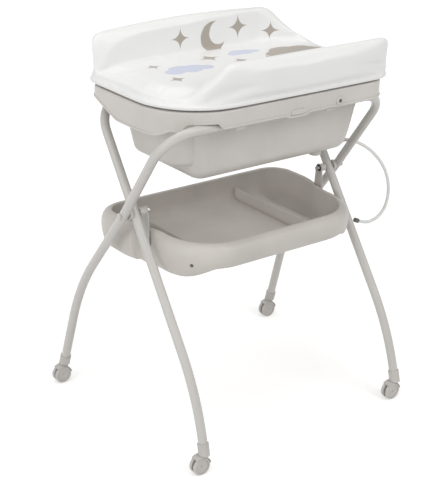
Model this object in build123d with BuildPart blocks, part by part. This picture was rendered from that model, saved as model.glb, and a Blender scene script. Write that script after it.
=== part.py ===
from build123d import *
import os
from math import cos, radians, sin, tan

os.makedirs("parts", exist_ok=True)

# Baby bathtub on a folding stand, in millimetres, +Z up, standing on the floor at z = 0.
# It is drawn about the two symmetry planes of the stand: X runs along the tub, Y from the
# front to the rear. Each finished piece is then moved so that the middle of the whole
# object lies over the origin.

# Running and seating clearances
running_gap = 0.15
bearing_gap = 0.3
seat_gap = 0.3
cut_over = 2.0

# Bent tubes of the stand
tube_diameter = 25.0
tube_wall = 1.5
crossing_height = 619.0
bar_height = 881.0
bar_reach = 184.0
bar_bend = 90.0
tube_end_height = 65.0
inner_half_width = 337.0
inner_knee_half_width = 341.0
inner_foot_half_width = 344.0
inner_knee_reach = 295.0
inner_knee_height = 200.0
inner_knee_bend = 660.0
inner_foot_reach = 329.0
outer_half_width = 370.0
outer_crossing_half_width = 372.0
outer_knee_half_width = 380.0
outer_foot_half_width = 390.0
outer_hip_bend = 600.0
outer_knee_reach = 220.0
outer_knee_height = 336.0
outer_knee_bend = 600.0
outer_foot_reach = 301.0

# Crossing pivots
pivot_diameter = 8.0
pivot_head_diameter = 18.0
pivot_head_height = 5.0
nut_diameter = 15.0
nut_height = 8.0
spacer_diameter = 30.0

# Casters
wheel_diameter = 50.0
wheel_width = 9.5
wheel_dish = 2.5
wheel_tyre = 5.0
wheel_round = 1.6
fin_width = 7.0
caster_trail = 12.0
caster_axle_diameter = 6.0
hood_gap = 1.0
hood_wall = 2.0
hood_start_angle = 8.0
hood_end_angle = 128.0
stem_diameter = 8.0
stem_reach = 7.0
stem_boss_diameter = 18.0
stem_boss_height = 12.0
socket_bottom = 54.0
socket_cover = 20.0
socket_wall = 3.0

# Tub
rim_top = 925.0
tub_half_length = 353.0
tub_half_depth = 208.0
wide_corner = 182.0
tight_corner = 60.0
tub_wall = 3.0
rim_round = 5.0
skirt_front_edge = 880.0
skirt_head_edge = 858.0
skirt_corner_edge = 874.0
skirt_bend = 40.0
arch_gap = 1.5
arch_inner = 222.0
arch_outer = 290.0
arch_ramp = 30.0
bead_height = 5.0
bead_depth = 2.0
basin_half_depth = 147.0
basin_head = 253.0
basin_foot = 291.0
basin_datum = 860.0
basin_bottom = 728.0
basin_draft = 10.5
basin_corner = 46.0
basin_floor_round = 42.0
shelf_head = 305.0
shelf_half_depth = 128.0
shelf_bottom = 773.0
shelf_corner = 60.0
shelf_floor_round = 22.0

# Tub carriers on the two crossbars
carrier_offset = 150.0
carrier_width = 30.0
carrier_wall = 3.7
clip_lead = 2.8

# Release button and hanger ring on the front of the skirt
button_centre = 31.0
button_length = 48.0
button_height = 14.0
button_level = 887.0
button_proud = 3.0
button_flange = 3.0
button_wall = 1.6
ring_centre = 176.0
ring_level = 893.0
ring_diameter = 26.0
ring_bore = 12.0
ring_proud = 3.0

# Drain and hose
drain_x = 218.0
drain_y = -72.0
drain_bore = 30.0
drain_flange_diameter = 46.0
drain_flange_height = 5.0
drain_cup_diameter = 36.0
drain_cup_depth = 30.0
drain_wall = 2.5
spigot_diameter = 12.0
spigot_level = 706.0
spigot_yaw = 14.0
spigot_reach = 67.0
collar_diameter = 19.0
collar_length = 18.0
collar_groove = 1.2
collar_grooves = 2
plug_head_diameter = 34.0
plug_head_height = 4.0
plug_stem_height = 12.0
plug_knob_diameter = 12.0
plug_knob_height = 14.0
hose_diameter = 10.0
hose_lead = 34.0
hose_run = [
    (388.0, -29.0, 702.0),
    (450.0, -38.0, 669.0),
    (486.0, -45.0, 637.0),
    (512.0, -52.0, 603.0),
    (529.0, -56.0, 567.0),
    (535.0, -60.0, 531.0),
    (535.0, -60.0, 500.0),
    (528.0, -60.0, 472.0),
    (511.0, -60.0, 450.0),
    (486.0, -60.0, 437.0),
    (458.0, -60.0, 434.0),
    (432.0, -60.0, 441.0),
    (416.0, -60.0, 448.0),
]
stopper_diameter = 14.0
stopper_length = 16.0

# Changing top
board_inset = 14.0
board_height = 5.0
pad_lift = 3.0
pad_half_length = 350.0
pad_half_depth = 206.0
pad_wide_corner = 178.0
pad_tight_corner = 58.0
pad_bed_top = 964.0
pad_crown = 8.0
pad_side_draw = 5.0
pad_wall_top = 1056.0
pad_wall_depth = 43.0
pad_wall_start = 185.0
pad_wall_end = 285.0
rear_wall_start = 235.0
rear_wall_end = 335.0
pad_wall_bend = 45.0
pad_foot_round = 44.0
pad_edge_round = 16.0
hinge_centres = (-180.0, 110.0)
hinge_pin_diameter = 3.0
hinge_knuckle_diameter = 9.0
hinge_knuckle_length = 14.0
hinge_plate_height = 20.0
hinge_leaf = 2.0
hinge_leaf_reach = 40.0

# Storage tray
tray_half_length = 311.0
tray_half_depth = 203.0
tray_wide_corner = 172.0
tray_tight_corner = 92.0
tray_wall = 3.0
tray_rim_width = 9.0
tray_rim_height = 6.0
tray_rim_middle = 560.0
tray_rim_ends = 598.0
tray_edge_middle = 499.0
tray_edge_ends = 466.0
tray_step_start = 205.0
tray_step_end = 285.0
tray_step_bend = 60.0
tray_draft = 4.0
tray_floor_round = 20.0
divider_place = 188.0
divider_bow = 30.0
divider_top = 536.0
divider_width = 5.0
divider_draft = 8.0
recess_width = 62.0
recess_depth = 9.0
hanger_width = 50.0
hanger_height = 128.0
hanger_plate = 3.2
hanger_rib = 5.0
hanger_rib_depth = 9.0
hanger_boss_diameter = 26.0
tray_screw_head = 9.0
tray_screw_head_height = 2.5
tray_screw_shank = 4.0
tray_screw_level = 528.0
tray_screw_place = 150.0
tray_screw_length = 8.0
tray_screw_recess = 1.2

# Worked out from the values above
tube_radius = tube_diameter / 2
wheel_radius = wheel_diameter / 2
pivot_radius = pivot_diameter / 2
crossing_share = (bar_height - crossing_height) / (bar_height - inner_knee_height)
inner_crossing_half_width = (
    inner_half_width + (inner_knee_half_width - inner_half_width) * crossing_share
)
hood_radius = wheel_radius + hood_gap + hood_wall
middle_x = caster_trail - (hood_radius - wheel_radius) / 2
middle_y = (inner_foot_reach - outer_foot_reach) / 2
to_origin = Location((middle_x, middle_y, 0))


def keep(shape, label):
    """Names a finished piece, moves it to the object's own origin and writes its file."""
    placed = shape.moved(to_origin)
    placed.label = label
    export_step(placed, f"parts/{label}.step")


def point_symmetric_plan(half_length, half_depth, wide, tight, level):
    """Closed outline with wide corners front left and rear right, tight ones between."""
    with BuildSketch(Plane.XY.offset(level)) as outline:
        with BuildLine():
            FilletPolyline(
                (-half_length, -half_depth),
                (half_length, -half_depth),
                (half_length, half_depth),
                (-half_length, half_depth),
                radius=[wide, tight, wide, tight],
                close=True,
            )
        make_face()
    return outline.sketch


def tub_plan(inset, level):
    """Outline of the tub's skirt, drawn in by inset."""
    return point_symmetric_plan(
        tub_half_length - inset,
        tub_half_depth - inset,
        wide_corner - inset,
        tight_corner - inset,
        level,
    )


def disc(centre, direction, radius):
    """Round profile square to a direction."""
    with BuildSketch(Plane(origin=centre, z_dir=direction)) as profile:
        Circle(radius)
    return profile.sketch


# Inner frame: crossbar at the rear, feet at the front
inner_leg = [
    (inner_half_width, bar_reach, bar_height),
    (inner_knee_half_width, -inner_knee_reach, inner_knee_height),
    (inner_foot_half_width, -inner_foot_reach, tube_end_height),
]
inner_points = [(-x, y, z) for x, y, z in reversed(inner_leg)] + inner_leg
inner_bends = [inner_knee_bend, bar_bend, bar_bend, inner_knee_bend]

# Outer frame: crossbar at the front, feet at the rear
outer_leg = [
    (outer_half_width, -bar_reach, bar_height),
    (outer_crossing_half_width, 0, crossing_height),
    (outer_knee_half_width, outer_knee_reach, outer_knee_height),
    (outer_foot_half_width, outer_foot_reach, tube_end_height),
]
outer_points = [(-x, y, z) for x, y, z in reversed(outer_leg)] + outer_leg
outer_bends = [outer_knee_bend, outer_hip_bend, bar_bend]
outer_bends += reversed(outer_bends)


def bent_tube(points, bends, radius, wall=0):
    """Round tube along straight runs and bends."""
    with BuildPart() as tube:
        with BuildLine() as route:
            FilletPolyline(*points, radius=bends)
        with BuildSketch(Plane(origin=route.line @ 0, z_dir=route.line % 0)):
            Circle(radius)
            if wall:
                Circle(radius - wall, mode=Mode.SUBTRACT)
        sweep()
    return tube.part


with BuildPart() as inner_frame:
    add(bent_tube(inner_points, inner_bends, tube_radius, tube_wall))
    with BuildSketch(Plane.YZ.offset(-outer_half_width)):
        with Locations((0, crossing_height)):
            Circle(pivot_radius + running_gap)
    extrude(amount=2 * outer_half_width, mode=Mode.SUBTRACT)

with BuildPart() as outer_frame:
    add(bent_tube(outer_points, outer_bends, tube_radius, tube_wall))
    with BuildSketch(Plane.YZ.offset(-outer_foot_half_width - tube_diameter)):
        with Locations((0, crossing_height)):
            Circle(pivot_radius + running_gap)
    extrude(amount=2 * (outer_foot_half_width + tube_diameter), mode=Mode.SUBTRACT)

keep(inner_frame.part, "inner_frame")
keep(outer_frame.part, "outer_frame")

# Leg sockets: plastic ferrules over the tube ends, bored for the caster stems
def leg_socket(side, leg):
    """Ferrule at the foot of one leg, cut level under the tube's end."""
    foot = Vector(side * leg[-1][0], leg[-1][1], leg[-1][2])
    knee = Vector(side * leg[-2][0], leg[-2][1], leg[-2][2])
    along = (foot - knee).normalized()
    with BuildPart() as socket:
        extrude(
            disc(foot - along * socket_cover, along, tube_radius + socket_wall),
            amount=socket_cover + 2 * (tube_end_height - socket_bottom),
        )
        split(bisect_by=Plane.XY.offset(socket_bottom), keep=Keep.TOP)
        extrude(
            disc(foot - along * (socket_cover + cut_over), along, tube_radius + running_gap),
            amount=socket_cover + cut_over,
            mode=Mode.SUBTRACT,
        )
        extrude(
            disc((foot.X, foot.Y, socket_bottom - cut_over), (0, 0, 1), stem_bore),
            amount=cut_over + stem_reach + seat_gap,
            mode=Mode.SUBTRACT,
        )
    return socket.part


stem_bore = stem_diameter / 2 + running_gap
feet = {
    "front_left": (-1, inner_leg),
    "front_right": (1, inner_leg),
    "rear_left": (-1, outer_leg),
    "rear_right": (1, outer_leg),
}

# Caster, drawn about the stem's axis: hood and fin in one moulding with the stem
wheel_inner_face = fin_width / 2 + bearing_gap
hood_width = 2 * (wheel_inner_face + wheel_width)
cut_reach = 2 * hood_radius


def around_axle(angle):
    """Far point of a sector of the hood, seen along the axle."""
    turn = radians(angle)
    return (-caster_trail + cut_reach * cos(turn), wheel_radius + cut_reach * sin(turn))


with BuildPart() as caster_hood:
    with BuildSketch(Plane.XZ.offset(-hood_width / 2)):
        with Locations((-caster_trail, wheel_radius)):
            Circle(hood_radius)
        with BuildLine():
            Polyline(
                (-caster_trail, wheel_radius),
                around_axle(hood_start_angle),
                (-caster_trail + cut_reach, wheel_radius - cut_reach),
                (-caster_trail - cut_reach, wheel_radius - cut_reach),
                around_axle(hood_end_angle),
                close=True,
            )
        make_face(mode=Mode.SUBTRACT)
        with Locations((-caster_trail, wheel_radius)):
            Circle(caster_axle_diameter)
    extrude(amount=hood_width)
    with BuildSketch(Plane.XY.offset(socket_bottom - seat_gap)):
        Circle(stem_boss_diameter / 2)
    extrude(amount=-stem_boss_height)
    for side in (-1, 1):
        with BuildSketch(Plane.XZ.offset(side * fin_width / 2)):
            with Locations((-caster_trail, wheel_radius)):
                Circle(wheel_radius + hood_gap)
        extrude(amount=side * hood_width, mode=Mode.SUBTRACT)
    with BuildSketch(Plane.XY.offset(socket_bottom - seat_gap)):
        Circle(stem_diameter / 2)
    extrude(amount=seat_gap + stem_reach)
    with BuildSketch(Plane.XZ.offset(-fin_width)):
        with Locations((-caster_trail, wheel_radius)):
            Circle(caster_axle_diameter / 2 + running_gap)
    extrude(amount=2 * fin_width, mode=Mode.SUBTRACT)

with BuildPart() as caster_axle:
    Cylinder(
        caster_axle_diameter / 2,
        hood_width - wheel_dish,
        rotation=(90, 0, 0),
    )

with BuildPart() as caster_wheel:
    with BuildSketch():
        with BuildLine():
            Polyline(
                (caster_axle_diameter / 2 + running_gap, 0),
                (wheel_radius, 0),
                (wheel_radius, wheel_width),
                (wheel_radius - wheel_tyre, wheel_width),
                (wheel_radius - wheel_tyre, wheel_width - wheel_dish),
                (caster_axle_diameter / 2 + running_gap, wheel_width - wheel_dish),
                close=True,
            )
        make_face()
        chamfer(vertices().group_by(Axis.X)[-1], length=wheel_round)
    revolve(axis=Axis.Y)

for corner, (side, leg) in feet.items():
    keep(leg_socket(side, leg), f"{corner}_socket")
    foot = Location((side * leg[-1][0], leg[-1][1], 0))
    axle_place = foot * Location((-caster_trail, 0, wheel_radius))
    wheel_place = axle_place * Location((0, wheel_inner_face, 0))
    mirrored_place = axle_place * Location((0, -wheel_inner_face, 0))
    keep(caster_hood.part.moved(foot), f"{corner}_caster_hood")
    keep(caster_axle.part.moved(axle_place), f"{corner}_caster_axle")
    keep(caster_wheel.part.moved(wheel_place), f"{corner}_rear_wheel")
    keep(caster_wheel.part.mirror(Plane.XZ).moved(mirrored_place), f"{corner}_front_wheel")

# Crossing pivots: a bolt through both tubes and the tray hanger, its nut and a spacer
outer_face = outer_crossing_half_width + tube_radius
inner_face = inner_crossing_half_width - tube_radius
tube_gap_start = inner_crossing_half_width + tube_radius + running_gap
tube_gap_end = outer_crossing_half_width - tube_radius - seat_gap
recess_floor = tray_half_length - recess_depth
hanger_inner_face = recess_floor + running_gap
nut_face = hanger_inner_face - seat_gap

for side, name in ((-1, "left"), (1, "right")):
    with BuildPart() as pivot_bolt:
        with BuildSketch(Plane.YZ.offset(side * (nut_face - nut_height))):
            with Locations((0, crossing_height)):
                Circle(pivot_radius)
        extrude(amount=side * (outer_face + seat_gap - nut_face + nut_height))
        with BuildSketch(Plane.YZ.offset(side * (outer_face + seat_gap))):
            with Locations((0, crossing_height)):
                Circle(pivot_head_diameter / 2)
        extrude(amount=side * pivot_head_height)
        chamfer(edges().sort_by(Axis.X)[-1 if side > 0 else 0], length=pivot_head_height / 3)
    keep(pivot_bolt.part, f"pivot_bolt_{name}")

    with BuildPart() as pivot_nut:
        with BuildSketch(Plane.YZ.offset(side * nut_face)):
            with Locations((0, crossing_height)):
                RegularPolygon(nut_diameter / 2, 6)
                Circle(pivot_radius + running_gap, mode=Mode.SUBTRACT)
        extrude(amount=-side * nut_height)
    keep(pivot_nut.part, f"pivot_nut_{name}")

    with BuildPart() as hub_spacer:
        with BuildSketch(Plane.YZ.offset(side * tube_gap_start)):
            with Locations((0, crossing_height)):
                Circle(spacer_diameter / 2)
                Circle(pivot_radius + running_gap, mode=Mode.SUBTRACT)
        extrude(amount=side * (tube_gap_end - tube_gap_start))
    keep(hub_spacer.part, f"hub_spacer_{name}")

# Tub: skirt and rim, basin and shallow head end, one thin-walled moulding
rim_under = rim_top - tub_wall
skirt_base = basin_datum - tub_wall * 5
bar_clear_level = bar_height + tube_radius + arch_gap
draft_slope = tan(radians(basin_draft))


def basin_section(head, foot, half_depth, corner, inset, level):
    """Rounded outline of a drafted basin on one level."""
    grow = (level - basin_datum) * draft_slope - inset
    with BuildSketch(Plane.XY.offset(level)) as outline:
        with BuildLine():
            FilletPolyline(
                (-head - grow, -half_depth - grow),
                (foot + grow, -half_depth - grow),
                (foot + grow, half_depth + grow),
                (-head - grow, half_depth + grow),
                radius=corner - inset,
                close=True,
            )
        make_face()
    return outline.sketch


def drafted_bowl(head, foot, half_depth, corner, floor_round, bottom, top, inset):
    """Bowl-shaped solid with a rounded floor edge."""
    with BuildPart() as bowl:
        loft(
            [
                basin_section(head, foot, half_depth, corner, inset, bottom + inset),
                basin_section(head, foot, half_depth, corner, inset, top),
            ],
            ruled=True,
        )
        fillet(bowl.edges().group_by(Axis.Z)[0], radius=floor_round - inset)
    return bowl.part


def under_edge(plane, points, bends, depth):
    """Prism below a lower edge, which trims it."""
    with BuildPart() as trim:
        with BuildSketch(plane):
            with BuildLine():
                FilletPolyline(*points, radius=bends, close=True)
            make_face()
        extrude(amount=depth)
    return trim.part


deep_basin = (basin_head, basin_foot, basin_half_depth, basin_corner, basin_floor_round)
head_shelf = (
    shelf_head, -basin_head + 2 * shelf_corner, shelf_half_depth, shelf_corner, shelf_floor_round
)
trim_reach = tub_half_length + cut_over
trim_depth = tub_half_depth + cut_over
button_tab = button_length / 2 + button_flange
front_trim = under_edge(
    Plane.XZ,
    [
        (-trim_reach, skirt_base - cut_over),
        (-trim_reach, skirt_head_edge),
        (-trim_reach + arch_ramp / 2, skirt_head_edge),
        (-arch_outer - arch_ramp, skirt_corner_edge),
        (-arch_outer - arch_ramp / 2, skirt_corner_edge),
        (-arch_outer, bar_clear_level),
        (-arch_inner, bar_clear_level),
        (-arch_inner + arch_ramp / 2, skirt_front_edge),
        (button_centre - button_tab - arch_ramp / 2, skirt_front_edge),
        (button_centre - button_tab, button_level - button_tab / 2),
        (button_centre + button_tab, button_level - button_tab / 2),
        (button_centre + button_tab + arch_ramp / 2, skirt_front_edge),
        (trim_reach, skirt_front_edge),
        (trim_reach, skirt_base - cut_over),
    ],
    [0, 0] + [arch_ramp / 6] * 10 + [0, 0],
    trim_depth,
)
head_trim = under_edge(
    Plane.YZ.offset(-trim_reach),
    [
        (0, skirt_base - cut_over),
        (0, skirt_head_edge),
        (tight_corner, skirt_head_edge),
        (bar_reach - tube_diameter, bar_clear_level),
        (trim_depth, bar_clear_level),
        (trim_depth, skirt_base - cut_over),
    ],
    [0, 0, skirt_bend, skirt_bend, 0, 0],
    trim_reach,
)
foot_trim = under_edge(
    Plane.YZ,
    [
        (0, skirt_base - cut_over),
        (0, skirt_front_edge),
        (tight_corner, skirt_front_edge),
        (bar_reach - tube_diameter, bar_clear_level),
        (trim_depth, bar_clear_level),
        (trim_depth, skirt_base - cut_over),
    ],
    [0, 0, skirt_bend, skirt_bend, 0, 0],
    trim_reach,
)

with BuildPart() as bead_zone:
    for trim in (front_trim, head_trim, foot_trim):
        add(trim.moved(Location((0, 0, bead_height))))

with BuildPart() as edge_bead:
    extrude(tub_plan(-bead_depth, skirt_base), amount=rim_under - skirt_base)
    extrude(tub_plan(bead_depth, skirt_base), amount=rim_under - skirt_base, mode=Mode.SUBTRACT)
    add(bead_zone.part, mode=Mode.INTERSECT)
    with BuildSketch(Plane.XZ.offset(tub_half_depth)):
        with Locations((ring_centre, ring_level)):
            Circle(ring_diameter / 2 + seat_gap)
    extrude(amount=2 * bead_depth, mode=Mode.SUBTRACT)

with BuildPart() as tub:
    extrude(tub_plan(0, skirt_base), amount=rim_top - skirt_base)
    fillet(edges().group_by(Axis.Z)[-1], radius=rim_round)
    extrude(
        tub_plan(tub_wall, skirt_base - cut_over),
        amount=rim_under - skirt_base + cut_over,
        mode=Mode.SUBTRACT,
    )
    add(edge_bead.part)
    add(front_trim, mode=Mode.SUBTRACT)
    add(head_trim, mode=Mode.SUBTRACT)
    add(foot_trim, mode=Mode.SUBTRACT)
    add(drafted_bowl(*deep_basin, basin_bottom, rim_under, 0))
    add(drafted_bowl(*head_shelf, shelf_bottom, rim_under, 0))
    add(
        drafted_bowl(*deep_basin, basin_bottom, rim_top + cut_over, tub_wall),
        mode=Mode.SUBTRACT,
    )
    add(
        drafted_bowl(*head_shelf, shelf_bottom, rim_top + cut_over, tub_wall),
        mode=Mode.SUBTRACT,
    )
    with BuildSketch(Plane.XY.offset(basin_bottom - cut_over)):
        with Locations((drain_x, drain_y)):
            Circle(drain_bore / 2)
    extrude(amount=tub_wall + 2 * cut_over, mode=Mode.SUBTRACT)
    with BuildSketch(Plane.XZ.offset(tub_half_depth - tub_wall - cut_over)):
        with Locations((button_centre, button_level)):
            SlotOverall(button_length + 2 * bearing_gap, button_height + 2 * bearing_gap)
        with Locations((ring_centre, ring_level)):
            Circle(ring_bore / 2 + ring_proud + running_gap)
    extrude(amount=tub_wall + 2 * cut_over, mode=Mode.SUBTRACT)
keep(tub.part, "tub")

# Carriers under the rim: rings round the rear crossbar, open saddles on the front one
carrier_bore = tube_radius + bearing_gap
carrier_radius = carrier_bore + carrier_wall
for side, name in ((-1, "left"), (1, "right")):
    carrier_plane = Plane.YZ.offset(side * carrier_offset - carrier_width / 2)
    with BuildPart() as hinge_bracket:
        with BuildSketch(carrier_plane):
            with Locations((bar_reach, bar_height)):
                Circle(carrier_radius)
            with Locations((bar_reach, (bar_height + rim_under) / 2)):
                Rectangle(2 * carrier_radius, rim_under - bar_height)
            with Locations((bar_reach, bar_height)):
                Circle(carrier_bore, mode=Mode.SUBTRACT)
        extrude(amount=carrier_width)
    keep(hinge_bracket.part, f"hinge_bracket_{name}")

    clip_rear = tube_radius + clip_lead
    with BuildPart() as bar_clip:
        with BuildSketch(carrier_plane):
            with BuildLine():
                Polyline(
                    (-bar_reach - carrier_radius, rim_under),
                    (-bar_reach - carrier_radius, bar_height - carrier_bore),
                    (-bar_reach + clip_rear + carrier_wall, bar_height - carrier_bore),
                    (-bar_reach + clip_rear + carrier_wall, rim_under),
                    close=True,
                )
            make_face()
            with Locations((-bar_reach, bar_height)):
                Circle(carrier_bore, mode=Mode.SUBTRACT)
            with BuildLine():
                Polyline(
                    (-bar_reach - carrier_bore, bar_height),
                    (-bar_reach - carrier_bore, bar_height - carrier_radius),
                    (-bar_reach + clip_rear, bar_height - carrier_radius),
                    (-bar_reach + clip_rear, bar_height),
                    close=True,
                )
            make_face(mode=Mode.SUBTRACT)
        extrude(amount=carrier_width)
    keep(bar_clip.part, f"bar_clip_{name}")

# Release button: oval cap through the skirt with a flange behind the wall
skirt_inner_face = tub_half_depth - tub_wall
with BuildPart() as release_button:
    with BuildSketch(Plane.XZ.offset(skirt_inner_face - seat_gap)):
        with Locations((button_centre, button_level)):
            SlotOverall(button_length, button_height)
    extrude(amount=tub_wall + seat_gap + button_proud)
    fillet(edges().group_by(Axis.Y)[0], radius=button_proud / 2)
    with BuildSketch(Plane.XZ.offset(skirt_inner_face - seat_gap)):
        with Locations((button_centre, button_level)):
            SlotOverall(button_length + button_flange, button_height + button_flange)
    extrude(amount=-button_wall)
keep(release_button.part, "release_button")

with BuildPart() as hanger_ring:
    with BuildSketch(Plane.XZ.offset(tub_half_depth)):
        with Locations((ring_centre, ring_level)):
            Circle(ring_diameter / 2)
    extrude(amount=ring_proud)
    chamfer(edges().group_by(Axis.Y)[0], length=ring_proud / 2)
    with BuildSketch(Plane.XZ.offset(tub_half_depth)):
        with Locations((ring_centre, ring_level)):
            Circle(ring_bore / 2 + ring_proud)
    extrude(amount=-tub_wall - ring_proud / 2)
    with BuildSketch(Plane.XZ.offset(skirt_inner_face - ring_proud)):
        with Locations((ring_centre, ring_level)):
            Circle(ring_bore / 2)
    extrude(amount=tub_wall + 3 * ring_proud, mode=Mode.SUBTRACT)
keep(hanger_ring.part, "hanger_ring")

# Drain under the basin: flanged cup with a spigot, collar, hose and its stopper
spigot_turn = radians(spigot_yaw)
spigot_bore = spigot_diameter / 2 + running_gap
spigot_heading = Vector(cos(spigot_turn), sin(spigot_turn), 0)
drain_axis = Vector(drain_x, drain_y, spigot_level)
collar_start = drain_axis + spigot_heading * spigot_reach
hose_exit = collar_start + spigot_heading * collar_length

with BuildPart() as drain_cup:
    with BuildSketch(Plane.XY.offset(basin_bottom)):
        with Locations((drain_x, drain_y)):
            Circle(drain_flange_diameter / 2)
    extrude(amount=-drain_flange_height)
    with BuildSketch(Plane.XY.offset(basin_bottom)):
        with Locations((drain_x, drain_y)):
            Circle(drain_cup_diameter / 2)
    extrude(amount=-drain_cup_depth)
    chamfer(edges().group_by(Axis.Z)[0], length=drain_wall)
    extrude(
        disc(drain_axis, spigot_heading, spigot_diameter / 2),
        amount=spigot_reach + collar_length / 2,
    )
    with BuildSketch(Plane.XY.offset(basin_bottom + cut_over)):
        with Locations((drain_x, drain_y)):
            Circle(drain_bore / 2)
    extrude(amount=-drain_cup_depth + drain_wall - cut_over, mode=Mode.SUBTRACT)
    extrude(
        disc(drain_axis, spigot_heading, spigot_diameter / 2 - drain_wall),
        amount=spigot_reach + collar_length,
        mode=Mode.SUBTRACT,
    )
keep(drain_cup.part, "drain_cup")

with BuildPart() as drain_plug:
    with BuildSketch(Plane.XY.offset(basin_bottom + tub_wall + seat_gap)):
        with Locations((drain_x, drain_y)):
            Circle(plug_head_diameter / 2)
    extrude(amount=plug_head_height)
    chamfer(edges().group_by(Axis.Z)[-1], length=plug_head_height / 3)
    with BuildSketch(Plane.XY.offset(basin_bottom + tub_wall + seat_gap)):
        with Locations((drain_x, drain_y)):
            Circle(drain_bore / 2 - bearing_gap)
    extrude(amount=-plug_stem_height)
    with BuildSketch(Plane.XY.offset(basin_bottom + tub_wall + seat_gap + plug_head_height)):
        with Locations((drain_x, drain_y)):
            Circle(plug_knob_diameter / 2)
    extrude(amount=plug_knob_height)
    chamfer(edges().group_by(Axis.Z)[-1], length=plug_head_height / 3)
keep(drain_plug.part, "drain_plug")

with BuildPart() as hose_collar:
    extrude(disc(collar_start, spigot_heading, collar_diameter / 2), amount=collar_length)
    for ring in range(collar_grooves):
        groove_start = collar_start + spigot_heading * (
            collar_length * (ring + 1) / (collar_grooves + 1) - collar_groove
        )
        with BuildSketch(Plane(origin=groove_start, z_dir=spigot_heading)):
            Circle(collar_diameter)
            Circle(collar_diameter / 2 - collar_groove, mode=Mode.SUBTRACT)
        extrude(amount=2 * collar_groove, mode=Mode.SUBTRACT)
    extrude(
        disc(collar_start - spigot_heading * cut_over, spigot_heading, spigot_bore),
        amount=cut_over + collar_length / 2 + running_gap,
        mode=Mode.SUBTRACT,
    )
keep(hose_collar.part, "hose_collar")

# Hose: leaves the collar, bows out past the leg and curls back under itself
hose_route = [hose_exit, hose_exit + spigot_heading * hose_lead, *hose_run]


def route_bends(points):
    """Arc radius at each inner point of a route, as large as its two runs allow."""
    bends = []
    for before, corner, after in zip(points, points[1:], points[2:]):
        first = Vector(corner) - Vector(before)
        second = Vector(after) - Vector(corner)
        turn = radians(first.get_angle(second))
        run_share = 0.45
        bends.append(run_share * min(first.length, second.length) / tan(turn / 2))
    return bends


hose_bends = route_bends(hose_route)
print("hose bend radii", [round(bend) for bend in hose_bends])
with BuildPart() as drain_hose:
    with BuildLine() as hose_line:
        FilletPolyline(*hose_route, radius=hose_bends)
    with BuildSketch(Plane(origin=hose_line.line @ 0, z_dir=hose_line.line % 0)):
        Circle(hose_diameter / 2)
    sweep()
hose_length = sum(run.length for run in hose_line.edges())
hose_section = hose_length * (hose_diameter / 2) ** 2 * radians(180)
print("hose length", round(hose_length), "volume", drain_hose.part.volume / hose_section)
keep(drain_hose.part, "drain_hose")

with BuildPart() as hose_stopper:
    extrude(
        disc(hose_line.line @ 1, hose_line.line % 1, stopper_diameter / 2),
        amount=stopper_length,
    )
    chamfer(edges().sort_by(Axis.X)[0], length=stopper_diameter / 5)
keep(hose_stopper.part, "hose_stopper")

# Changing top: stiff board, padded cover with a front and a rear wall
pad_bottom = rim_top + pad_lift
board_bottom = rim_top + seat_gap + hinge_leaf
board_top = board_bottom + board_height


def pad_plan(inset, level):
    """Outline of the changing top, drawn in by inset."""
    return point_symmetric_plan(
        pad_half_length - inset,
        pad_half_depth - inset,
        pad_wide_corner - inset,
        pad_tight_corner - inset,
        level,
    )


with BuildPart() as changer_board:
    extrude(pad_plan(board_inset, board_bottom), amount=board_height)
keep(changer_board.part, "changer_board")


def pad_wall(start, end):
    """Front wall of the pad: level top, S-shaped fall at the left, rounded right end."""
    inner_x = pad_half_length - pad_wall_depth
    inner_y = pad_half_depth - pad_wall_depth
    with BuildPart() as wall:
        extrude(pad_plan(0, pad_bottom), amount=pad_wall_top - pad_bottom)
        with BuildSketch(Plane.XY.offset(pad_bottom)):
            with BuildLine():
                FilletPolyline(
                    (-inner_x, -inner_y),
                    (2 * pad_half_length, -inner_y),
                    (2 * pad_half_length, 2 * pad_half_depth),
                    (-inner_x, 2 * pad_half_depth),
                    radius=[pad_wide_corner - pad_wall_depth, 0, 0, 0],
                    close=True,
                )
            make_face()
        extrude(amount=pad_wall_top, mode=Mode.SUBTRACT)
        split(bisect_by=Plane.XZ, keep=Keep.TOP)
        with BuildSketch(Plane.XZ):
            with BuildLine():
                FilletPolyline(
                    (-2 * pad_half_length, pad_bottom),
                    (-2 * pad_half_length, pad_bed_top - pad_crown),
                    (-end, pad_bed_top - pad_crown),
                    (-start, pad_wall_top),
                    (pad_half_length, pad_wall_top),
                    (pad_half_length, pad_bottom),
                    radius=[0, 0, pad_wall_bend, pad_wall_bend, pad_foot_round, 0],
                    close=True,
                )
            make_face()
        extrude(amount=2 * pad_half_depth, mode=Mode.INTERSECT)
        fillet(edges().group_by(Axis.Z)[-1], radius=pad_edge_round)
    return wall.part


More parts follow.
